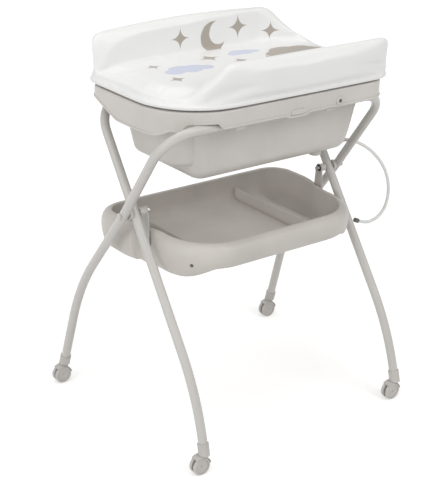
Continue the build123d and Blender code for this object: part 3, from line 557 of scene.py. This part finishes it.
def closed_tube(name, loop, level, half_width, half_height, sides):
    """A tube round a closed flat loop, with an oval section."""
    ahead = np.roll(loop, -1, axis=0) - np.roll(loop, 1, axis=0)
    ahead /= np.linalg.norm(ahead, axis=1, keepdims=True)
    outward = np.column_stack([ahead[:, 1], -ahead[:, 0]])
    points, faces = [], []
    for centre, out in zip(loop, outward):
        for side in range(sides):
            angle = 2 * math.pi * side / sides
            across = half_width * math.cos(angle)
            points.append((*(centre + out * across), level + half_height * math.sin(angle)))
    count = len(loop)
    for ring in range(count):
        for side in range(sides):
            here, there = ring * sides, (ring + 1) % count * sides
            beside = (side + 1) % sides
            faces.append((here + side, there + side, there + beside, here + beside))
    mesh = bpy.data.meshes.new(name)
    mesh.from_pydata(points, [], faces)
    smooth_shaded(mesh)
    return link_new(name, mesh)


shaped = points_of(pad.data)
near_edge = shaped[shaped[:, 2] < pad_low.z + 2 * PIPING_LEVEL]
edge_loop = evenly(outline_round(near_edge[:, :2]), PIPING_STEP)
piping = closed_tube(
    "pad_piping", edge_loop, pad_low.z + PIPING_LEVEL, PIPING_HALF_WIDTH, PIPING_HALF_HEIGHT, PIPING_SIDES,
)
piping.data.materials.append(materials["piping"])
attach(piping, "changing_top")


# Storage tray: moulded shell with a broad rolled rim, stepped floor, two dividers and a recess at each end
TRAY_REAR_HALF_LENGTH = 338.0
TRAY_FRONT_HALF_LENGTH = 306.0
TRAY_HALF_DEPTH = 228.0
TRAY_REAR_CORNER = 84.0
TRAY_FRONT_CORNER = 165.0
TRAY_TAPER_START = -60.0
TRAY_TAPER_END = 90.0
TRAY_RIM = 567.0
TRAY_EDGE_MIDDLE = 497.0
TRAY_EDGE_ENDS = 466.0
TRAY_STEP_START = 205.0
TRAY_STEP_END = 285.0
RECESS_HALF_WIDTH = 29.5
RECESS_FLOOR = 300.0
RECESS_EASE = 5.0
SHELL_WALL = 3.0
CORNER_POINTS = 16
LONG_POINTS = 44
END_POINTS = 60
# Each ring of the section, from the middle of the underside over the rim to the middle of the floor:
# inset from the widest outline, share of the rise from the edge to the rim, height added
tray_rings = [
    (150, 0, 0), (110, 0, 0), (74, 0, 0), (46, 0, 0), (30, 0, 0), (19, 0, 1.5), (12, 0.03, 4),
    (7, 0.14, 4), (3, 0.32, 3), (0.6, 0.52, 2), (0, 0.64, 0), (1.2, 0.76, 0), (4.5, 0.86, 0),
    (10, 0.94, 0), (17, 0.985, 0), (24, 1, 0), (28, 1, 1), (30, 1, 0), (31, 0.97, 0),
    (32.5, 0.8, 0), (36, 0.45, 2), (40, 0.22, 3), (46, 0.08, 4), (56, 0, 4.5), (68, 0, 3.5),
    (84, 0, 3), (104, 0, 3), (128, 0, 3), (152, 0, 3), (176, 0, 3), (200, 0, 3),
]
FIRST_INNER_RING = 18


def tray_corner(right, rear, radius, inset):
    """Centre and radius of one corner of the tray's outline, drawn in by inset."""
    reach = max(radius, inset + SHELL_WALL)
    centre = (right * (TRAY_REAR_HALF_LENGTH - reach), rear * (TRAY_HALF_DEPTH - reach))
    return np.array(centre), reach - inset


def tray_loop(inset):
    """One ring of the tray in plan, anticlockwise, with its ends tapered towards the front."""
    corners_round = (
        (1, -1, TRAY_FRONT_CORNER, -90), (1, 1, TRAY_REAR_CORNER, 0),
        (-1, 1, TRAY_REAR_CORNER, 90), (-1, -1, TRAY_FRONT_CORNER, 180),
    )
    arcs = []
    for right, rear, radius, start in corners_round:
        centre, bend = tray_corner(right, rear, radius, inset)
        angles = np.radians(start + np.linspace(0, 90, CORNER_POINTS))
        arcs.append(centre + bend * np.column_stack([np.cos(angles), np.sin(angles)]))
    loop = []
    for number, arc in enumerate(arcs):
        following = arcs[(number + 1) % len(arcs)][0]
        count = END_POINTS if number % 2 == 0 else LONG_POINTS
        share = np.linspace(0, 1, count + 1)[1:-1, None]
        loop += [arc, arc[-1] + share * (following - arc[-1])]
    loop = np.vstack(loop)
    taper = eased(loop[:, 1], TRAY_TAPER_START, TRAY_TAPER_END)
    growth = TRAY_REAR_HALF_LENGTH - TRAY_FRONT_HALF_LENGTH
    loop[:, 0] *= (TRAY_FRONT_HALF_LENGTH + growth * taper) / TRAY_REAR_HALF_LENGTH
    return loop


def recessed(loop, limit):
    """Presses a ring in at the two recesses where the hangers sit."""
    away = np.abs(loop[:, 1])
    hold = eased(away, RECESS_HALF_WIDTH, RECESS_HALF_WIDTH + RECESS_EASE)
    length = np.abs(loop[:, 0])
    pressed = np.minimum(length, limit) * (1 - hold) + length * hold
    loop[:, 0] = np.sign(loop[:, 0]) * pressed
    return loop


def tray_edge(x):
    """Height of the tray's underside: higher in the middle than at the ends."""
    drop = TRAY_EDGE_MIDDLE - TRAY_EDGE_ENDS
    return TRAY_EDGE_MIDDLE - drop * eased(np.abs(x), TRAY_STEP_START, TRAY_STEP_END)


def ringed_solid(name, rings):
    """A closed mesh through rings of as many points each, capped at both ends."""
    count = len(rings[0])
    faces = []
    for ring in range(len(rings) - 1):
        for spot in range(count):
            here, beside = ring * count + spot, ring * count + (spot + 1) % count
            faces.append((here, beside, beside + count, here + count))
    last = (len(rings) - 1) * count
    faces.append(tuple(range(count))[::-1])
    faces.append(tuple(range(last, last + count)))
    mesh = bpy.data.meshes.new(name)
    mesh.from_pydata(np.vstack(rings).tolist(), [], faces)
    smooth_shaded(mesh)
    return link_new(name, mesh)


def tray_ring(number, inset, share, added):
    """One ring of the tray in the object's frame, at its height."""
    inner = number >= FIRST_INNER_RING
    loop = recessed(tray_loop(inset), RECESS_FLOOR - (SHELL_WALL if inner else 0.0))
    edge = tray_edge(loop[:, 0])
    height = edge + share * (TRAY_RIM - edge) + added
    return np.column_stack([loop, height]) * MM + np.array(ORIGIN)


tray = ringed_solid("storage_tray", [tray_ring(i, *ring) for i, ring in enumerate(tray_rings)])
tray.data.materials.append(materials["tray"])
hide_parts("tray")
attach(tray, "tray_unit")

# Dividers
DIVIDER_PLACE_RIGHT = 142.0
DIVIDER_PLACE_LEFT = -218.0
DIVIDER_TOP = 535.0
DIVIDER_FOOT = 494.0
DIVIDER_REAR = 188.0
DIVIDER_FRONT_RIGHT = -182.0
DIVIDER_FRONT_LEFT = -160.0
DIVIDER_STEPS = 28
# Each point of a divider's left half: distance from its middle, share of its rise
divider_half = [(-7, 0), (-4.6, 0.45), (-2.9, 0.86), (-1.8, 0.97)]
divider_section = divider_half + [(0, 1)] + [(-across, share) for across, share in divider_half[::-1]]


def divider(name, place_across, front):
    """A low wall across the tray, thicker at its foot, with a rounded top."""
    rings = []
    for y in np.linspace(front, DIVIDER_REAR, DIVIDER_STEPS + 1):
        rings.append(np.array([
            place(place_across + across, y, DIVIDER_FOOT + rise * (DIVIDER_TOP - DIVIDER_FOOT))
            for across, rise in divider_section
        ]))
    made = ringed_solid(name, rings)
    made.data.materials.append(materials["tray"])
    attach(made, "tray_unit")


divider("tray_divider_right", DIVIDER_PLACE_RIGHT, DIVIDER_FRONT_RIGHT)
divider("tray_divider_left", DIVIDER_PLACE_LEFT, DIVIDER_FRONT_LEFT)


# Screws in the tray's curved front corners: place and facing of the right one, mirrored to the left
SCREW_PLACE = (271.3, -165.6, 512.0)
SCREW_FACING = (0.807, -0.591)
SCREW_POINTS = 24
# Each ring of a screw's head: height above the tray's wall, radius
screw_rings = [(-2.0, 4.8), (0.7, 4.8), (1.2, 4.2), (1.3, 2.2), (0.5, 1.6)]


def tray_screw(side, name):
    """A round screw head, hollowed in the middle, that faces out of the tray's wall."""
    out = Vector((side * SCREW_FACING[0], SCREW_FACING[1], 0.0)).normalized()
    across = Vector((-out.y, out.x, 0.0))
    middle = place(side * SCREW_PLACE[0], SCREW_PLACE[1], SCREW_PLACE[2])
    angles = np.linspace(0, 2 * math.pi, SCREW_POINTS, endpoint=False)
    spokes = [across * math.cos(angle) + Vector((0, 0, math.sin(angle))) for angle in angles]
    rings = [
        np.array([middle + (out * height + spoke * radius) * MM for spoke in spokes])
        for height, radius in screw_rings
    ]
    made = ringed_solid(f"tray_screw_head_{name}", rings)
    made.data.materials.append(materials["screw"])
    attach(made, "tray_unit")
    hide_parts(f"tray_screw_{name}")


for sign, side_name in ((-1, "left"), (1, "right")):
    tray_screw(sign, side_name)


# Tub: the CAD shell with its basin longer at the foot end and a little deeper on the outside
BASIN_STRETCH = 0.033
STRETCH_START = 0.1
STRETCH_END = 0.235
BASIN_SINK = 0.014
SINK_START = 0.845
SINK_END = 0.78
SKIRT_LEVEL = 0.872
SKIRT_BLEND = 0.004
SKIRT_FOOT_START = 0.302
SKIRT_FOOT_END = 0.34
SKIRT_SIDE_START = 0.165
SKIRT_SIDE_END = 0.195
UNDERSIDE_LEVEL = 0.7285
FACING_DOWN = -0.02
DRAIN_PLACE = (0.218, -0.072)
DRAIN_HOLE_REACH = 0.016


def longer_basin(points, normals):
    """Draws the basin out at the foot end and lowers its underside, leaving the drain hole where it is."""
    x, y, z = (points - np.array(ORIGIN)).T
    at_foot = eased(x, SKIRT_FOOT_START, SKIRT_FOOT_END)
    at_side = eased(np.abs(y), SKIRT_SIDE_START, SKIRT_SIDE_END)
    skirt = eased(z, SKIRT_LEVEL - SKIRT_BLEND, SKIRT_LEVEL) * np.maximum(at_foot, at_side)
    away_from_drain = np.hypot(x - DRAIN_PLACE[0], y - DRAIN_PLACE[1]) > DRAIN_HOLE_REACH
    outside = (normals[:, 2] < FACING_DOWN) | (z < UNDERSIDE_LEVEL)
    moved = points.copy()
    moved[:, 0] += BASIN_STRETCH * eased(x, STRETCH_START, STRETCH_END) * (1.0 - skirt) * away_from_drain
    moved[:, 2] -= BASIN_SINK * eased(-z, -SINK_START, -SINK_END) * outside
    return moved


tub = link_new("bath_tub", nodes["tub"].data.copy())
write_points(tub.data, longer_basin(points_of(tub.data), normals_of(tub.data)))
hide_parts("tub")
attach(tub, "tub_unit")


# Tray hangers: slim tongues with a round boss on the crossing axis
HANGER_FACE = 302.4
HANGER_TOP = 632.0
HANGER_FOOT = 506.0
HANGER_HALF_WIDTH = 13.0
HANGER_FOOT_HALF_WIDTH = 22.1
HANGER_THICKNESS = 3.2
HANGER_BOSS_END = 323.5
HANGER_BOSS_RADIUS = 11.0
HANGER_BOSS_END_RADIUS = 9.5
HANGER_BOSS_TAPER = 2.0
HANGER_EDGE = 0.8
HANGER_STEPS = 18


def hanger(side, name):
    """The tongue and the boss that carry one end of the tray; side is 1 to the right and -1 to the left."""
    inner_face = side * HANGER_FACE
    outer_face = side * (HANGER_FACE + HANGER_THICKNESS)
    centre = HANGER_TOP - HANGER_HALF_WIDTH
    outline = [(-HANGER_FOOT_HALF_WIDTH, HANGER_FOOT), (HANGER_FOOT_HALF_WIDTH, HANGER_FOOT)]
    outline += [
        (HANGER_HALF_WIDTH * math.cos(angle), centre + HANGER_HALF_WIDTH * math.sin(angle))
        for angle in np.linspace(0, math.pi, HANGER_STEPS)
    ]
    plate = [np.array([place(x, y, z) for y, z in outline]) for x in (inner_face, outer_face)[::side]]
    boss_stations = (
        (inner_face, HANGER_BOSS_RADIUS),
        (side * (HANGER_BOSS_END - HANGER_BOSS_TAPER), HANGER_BOSS_RADIUS),
        (side * HANGER_BOSS_END, HANGER_BOSS_END_RADIUS),
    )
    boss = [
        np.array([
            place(x, radius * math.cos(angle), centre + radius * math.sin(angle))
            for angle in np.linspace(0, 2 * math.pi, 2 * HANGER_STEPS, endpoint=False)
        ])
        for x, radius in boss_stations[::side]
    ]
    for stem, rings in (("tongue", plate), ("boss", boss)):
        made = ringed_solid(f"tray_{stem}_{name}", rings)
        made.data.materials.append(materials["hub"])
        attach(made, "tray_unit")
        edge = made.modifiers.new("edge", "BEVEL")
        edge.width = HANGER_EDGE * MM
        edge.segments = 2
        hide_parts(f"tray_hanger_{name}")


for sign, side_name in ((-1, "left"), (1, "right")):
    hanger(sign, side_name)


# Drain hose
hose_points = [
    (300.5, -53.2, 706.0), (333.5, -45.0, 706.0), (388.0, -29.0, 702.0), (450.0, -38.0, 669.0),
    (486.0, -45.0, 637.0), (512.0, -52.0, 603.0), (529.0, -56.0, 567.0), (535.0, -60.0, 531.0),
    (535.0, -60.0, 500.0), (528.0, -60.0, 472.0), (511.0, -60.0, 450.0), (486.0, -60.0, 437.0),
    (458.0, -60.0, 434.0), (432.0, -60.0, 441.0), (416.0, -60.0, 448.0),
]
HOSE_DIAMETER = 0.01
hose_curve = bpy.data.curves.new("hose", "CURVE")
hose_curve.dimensions = "3D"
hose_curve.bevel_depth = HOSE_DIAMETER / 2
hose_curve.bevel_resolution = 6
hose_curve.resolution_u = 12
hose_curve.use_fill_caps = True
run = hose_curve.splines.new("NURBS")
run.points.add(len(hose_points) - 1)
for point, (x, y, z) in zip(run.points, hose_points):
    point.co = (*place(x, y, z), 1.0)
run.order_u = 3
run.use_endpoint_u = True
hose = link_new("drain_hose_tube", hose_curve)
hose_curve.materials.append(materials["hose"])
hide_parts("drain_hose")
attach(hose, "tub_unit")


# Floor, light, camera
FLOOR_HALF = 30.0
GLOW_START = 0.9
GLOW_END = 5.0
GLOW_NEAR = 0.38
GLOW_FAR = 0.8


def plain_floor():
    """A matt floor that glows to white further out for the camera, and is plain grey to the light."""
    made = Nodes("floor")
    tree = made.tree
    output = tree.nodes["Material Output"]
    tree.nodes.remove(made.shader)
    matt = made.add("ShaderNodeBsdfDiffuse")
    matt.inputs["Color"].default_value = (0.86, 0.86, 0.86, 1.0)
    glow = made.add("ShaderNodeEmission")
    away = made.vector("LENGTH", made.coordinates())
    made.link(made.ramp(away, GLOW_START, GLOW_END, GLOW_NEAR, GLOW_FAR), glow.inputs["Strength"])
    both = made.add("ShaderNodeAddShader")
    made.link(matt.outputs[0], both.inputs[0])
    made.link(glow.outputs[0], both.inputs[1])
    path = made.add("ShaderNodeLightPath")
    seen = made.math("MAXIMUM", path.outputs["Is Camera Ray"], path.outputs["Is Glossy Ray"])
    seen = made.math("MAXIMUM", seen, path.outputs["Is Transmission Ray"])
    plain = made.add("ShaderNodeBsdfDiffuse")
    plain.inputs["Color"].default_value = (0.8, 0.8, 0.8, 1.0)
    choose = made.add("ShaderNodeMixShader")
    made.link(seen, choose.inputs["Fac"])
    made.link(plain.outputs[0], choose.inputs[1])
    made.link(both.outputs[0], choose.inputs[2])
    made.link(choose.outputs[0], output.inputs["Surface"])
    return made.material


floor_mesh = bpy.data.meshes.new("floor")
floor_corners = [(x * FLOOR_HALF, y * FLOOR_HALF, 0) for x, y in ((-1, -1), (1, -1), (1, 1), (-1, 1))]
floor_mesh.from_pydata(floor_corners, [], [(0, 1, 2, 3)])
floor = link_new("floor", floor_mesh)
floor_mesh.materials.append(plain_floor())

world = bpy.data.worlds.new("studio")
bpy.context.scene.world = world
world.use_nodes = True
world_nodes = world.node_tree.nodes
world_links = world.node_tree.links
soft_light = world_nodes["Background"]
soft_light.inputs["Color"].default_value = (1.0, 0.995, 0.985, 1.0)
soft_light.inputs["Strength"].default_value = 0.5
backdrop = world_nodes.new("ShaderNodeBackground")
backdrop.inputs["Color"].default_value = (1.0, 1.0, 1.0, 1.0)
backdrop.inputs["Strength"].default_value = 1.0
ray = world_nodes.new("ShaderNodeLightPath")
either = world_nodes.new("ShaderNodeMath")
either.operation = "MAXIMUM"
world_links.new(ray.outputs["Is Camera Ray"], either.inputs[0])
world_links.new(ray.outputs["Is Transmission Ray"], either.inputs[1])
pick = world_nodes.new("ShaderNodeMixShader")
world_links.new(either.outputs[0], pick.inputs["Fac"])
world_links.new(soft_light.outputs[0], pick.inputs[1])
world_links.new(backdrop.outputs[0], pick.inputs[2])
world_links.new(pick.outputs[0], world_nodes["World Output"].inputs["Surface"])


# Each lamp: where it hangs, what it faces, the length of its sides in metres, its power in watts
LAMPS = {
    "key_light": ((1.2, -3.0, 3.4), (0.0, 0.0, 0.6), 2.2, 46.0),
    "fill_light": ((-3.4, -0.8, 2.0), (0.0, 0.0, 0.6), 2.6, 40.0),
    "top_light": ((-0.4, 0.4, 4.2), (0.0, 0.0, 0.0), 3.0, 36.0),
}


def lamp(name, location, target, size, power):
    """A square area lamp turned towards its target."""
    data = bpy.data.lights.new(name, "AREA")
    data.size = size
    data.energy = power
    made = link_new(name, data)
    made.location = location
    made.rotation_euler = (Vector(target) - Vector(location)).to_track_quat("-Z", "Y").to_euler()


for lamp_name, settings in LAMPS.items():
    lamp(lamp_name, *settings)

camera_data = bpy.data.cameras.new("camera")
camera = link_new("camera", camera_data)
CAMERA_PLACE = Vector((-1.9795, -2.512, 1.810))
CAMERA_TARGET = Vector((0.0105, 0.0833, 0.4072))
CAMERA_ROLL = math.radians(1.31)
PICTURE_HEIGHT_PIXELS = 500.0
FOCAL_PIXELS = 1234.0
SENSOR_LONG_SIDE = 36.0
forward = (CAMERA_TARGET - CAMERA_PLACE).normalized()
level_right = forward.cross(Vector((0, 0, 1))).normalized()
level_up = level_right.cross(forward)
right = level_right * math.cos(CAMERA_ROLL) + level_up * math.sin(CAMERA_ROLL)
up = right.cross(forward)
turn = Matrix((right, up, -forward)).transposed()
camera.matrix_world = Matrix.Translation(CAMERA_PLACE) @ turn.to_4x4()
camera_data.sensor_width = SENSOR_LONG_SIDE
camera_data.lens = SENSOR_LONG_SIDE * FOCAL_PIXELS / PICTURE_HEIGHT_PIXELS
camera_data.clip_start = 0.05
camera_data.clip_end = 100.0
bpy.context.scene.camera = camera
bpy.context.scene.view_settings.view_transform = "Standard"
